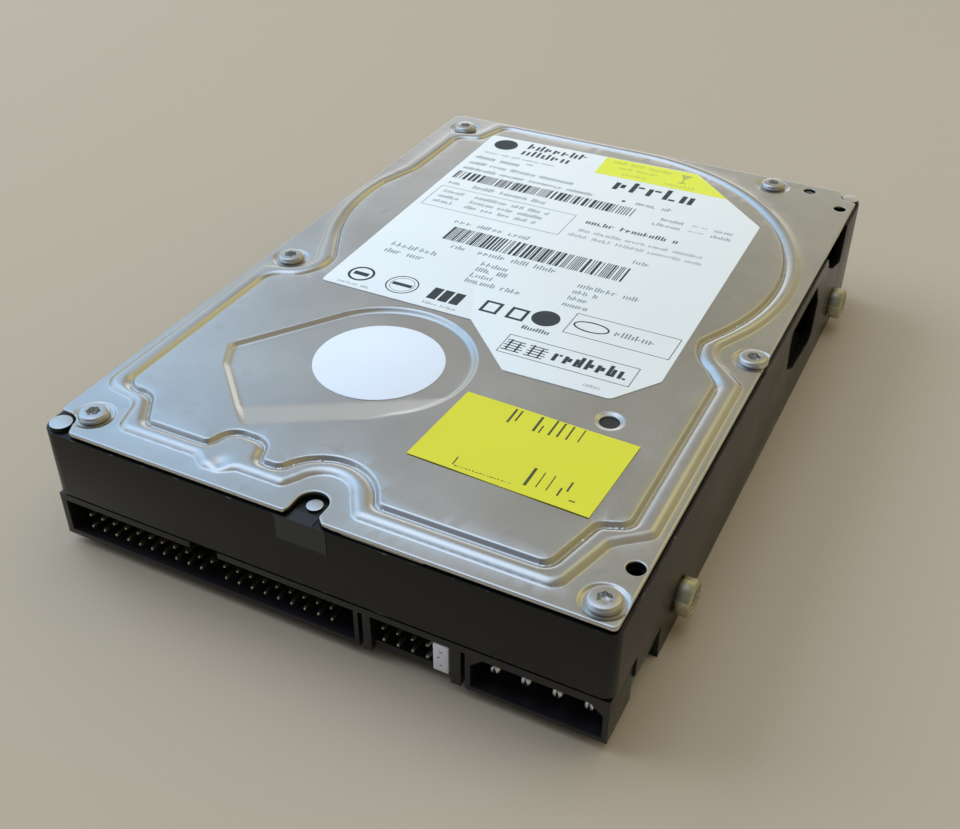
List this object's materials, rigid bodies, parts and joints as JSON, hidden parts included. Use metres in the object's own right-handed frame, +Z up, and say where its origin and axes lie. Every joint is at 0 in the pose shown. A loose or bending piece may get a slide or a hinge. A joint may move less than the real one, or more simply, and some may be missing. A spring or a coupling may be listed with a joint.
{
  "type": "hard disk drive",
  "caption": "Internal desktop hard disk drive: black cast base, pressed steel cover, parallel data and power sockets, jumper shunt, side screws, and a working spindle and actuator inside.",
  "frame": {"origin": "middle of the underside, half way along the drive", "axes": "+X to the right seen from the connector end, +Y from the connectors to the rear, +Z up through the cover"},
  "size_m": [0.1072, 0.1468, 0.0261],
  "materials": {
    "black_paint": "glossy black paint over the cast metal, worn at the edges",
    "cover_steel": "pressed stainless sheet, satin",
    "seal_rubber": "matt black foam rubber",
    "screw_steel": "bright plated steel",
    "zinc_plate": "yellowish zinc plate",
    "label_film": "pale printed film, satin",
    "white_label": "plain white film, satin",
    "yellow_paper": "matt yellow paper",
    "seal_tape": "dark glossy tape",
    "board_green": "green solder mask, satin",
    "insulator": "matt dark foam sheet",
    "chip_black": "matt black resin",
    "connector_black": "moulded black plastic, satin",
    "pin_gold": "thin gold plate",
    "pin_tin": "bright tin plate",
    "shunt_white": "moulded white plastic, satin",
    "bearing_steel": "ground steel",
    "machined_aluminium": "fine machined",
    "disc_mirror": "polished mirror",
    "copper_wire": "lacquered copper wire",
    "plated_magnet": "nickel plate",
    "plated_yoke": "nickel plate, satin",
    "spring_steel": "bright spring sheet",
    "amber_film": "amber polyimide film",
    "filter_felt": "white felt"
  },
  "bodies": {
    "chassis": {"base_casting": "black_paint", "board_insulator": "insulator", "board_screw_front_left": "screw_steel", "board_screw_front_right": "screw_steel", "board_screw_rear_left": "screw_steel", "board_screw_rear_right": "screw_steel", "breather_filter": "filter_felt", "circuit_board": "board_green", "coil_magnet": "plated_magnet", "connector_housing": "connector_black", "controller_chip": "chip_black", "cover_gasket": "seal_rubber", "cover_screw_front_left": "screw_steel", "cover_screw_front_right": "screw_steel", "cover_screw_middle_left": "screw_steel", "cover_screw_middle_right": "screw_steel", "cover_screw_rear_left": "screw_steel", "cover_screw_rear_right": "screw_steel", "data_pins_lower": "pin_gold", "data_pins_upper": "pin_gold", "flex_cable": "amber_film", "front_tape": "seal_tape", "info_label": "label_film", "jumper_pins_lower": "pin_gold", "jumper_pins_upper": "pin_gold", "magnet_yoke_lower": "plated_yoke", "magnet_yoke_upper": "plated_yoke", "memory_chip": "chip_black", "motor_driver_chip": "chip_black", "motor_stator": "copper_wire", "pivot_screw": "screw_steel", "pivot_shaft": "bearing_steel", "power_pin_1": "pin_tin", "power_pin_2": "pin_tin", "power_pin_3": "pin_tin", "power_pin_4": "pin_tin", "rail_screw_left_front": "zinc_plate", "rail_screw_left_rear": "zinc_plate", "rail_screw_right_front": "zinc_plate", "rail_screw_right_rear": "zinc_plate", "recirculation_filter": "filter_felt", "round_label": "white_label", "spindle_shaft": "bearing_steel", "top_cover": "cover_steel", "yellow_sticker": "yellow_paper"},
    "disc_pack": {"spindle_bearing_lower": "bearing_steel", "spindle_bearing_upper": "bearing_steel", "spindle_hub": "machined_aluminium", "rotor_magnet": "plated_magnet", "platter": "disc_mirror", "platter_clamp": "machined_aluminium", "clamp_screw_1": "screw_steel", "clamp_screw_2": "screw_steel", "clamp_screw_3": "screw_steel"},
    "actuator": {"pivot_bearing": "bearing_steel", "actuator_arm": "machined_aluminium", "voice_coil": "copper_wire", "head_suspension_lower": "spring_steel", "head_suspension_upper": "spring_steel"},
    "shunt": {"jumper_shunt": "shunt_white"}
  },
  "joints": [
    {"name": "spindle_spin", "type": "hinge", "parent": "chassis", "child": "disc_pack", "pos_m": [-0.0006, 0.02375, 0.018], "axis": [0, 0, 1], "continuous": true},
    {"name": "actuator_swing", "type": "hinge", "parent": "chassis", "child": "actuator", "pos_m": [-0.0105, -0.03235, 0.018], "axis": [0, 0, 1], "range_deg": [-27, 0]},
    {"name": "shunt_pull", "type": "slide", "parent": "chassis", "child": "shunt", "axis": [0, -1, 0], "range_m": [0, 0.007]}
  ]
}
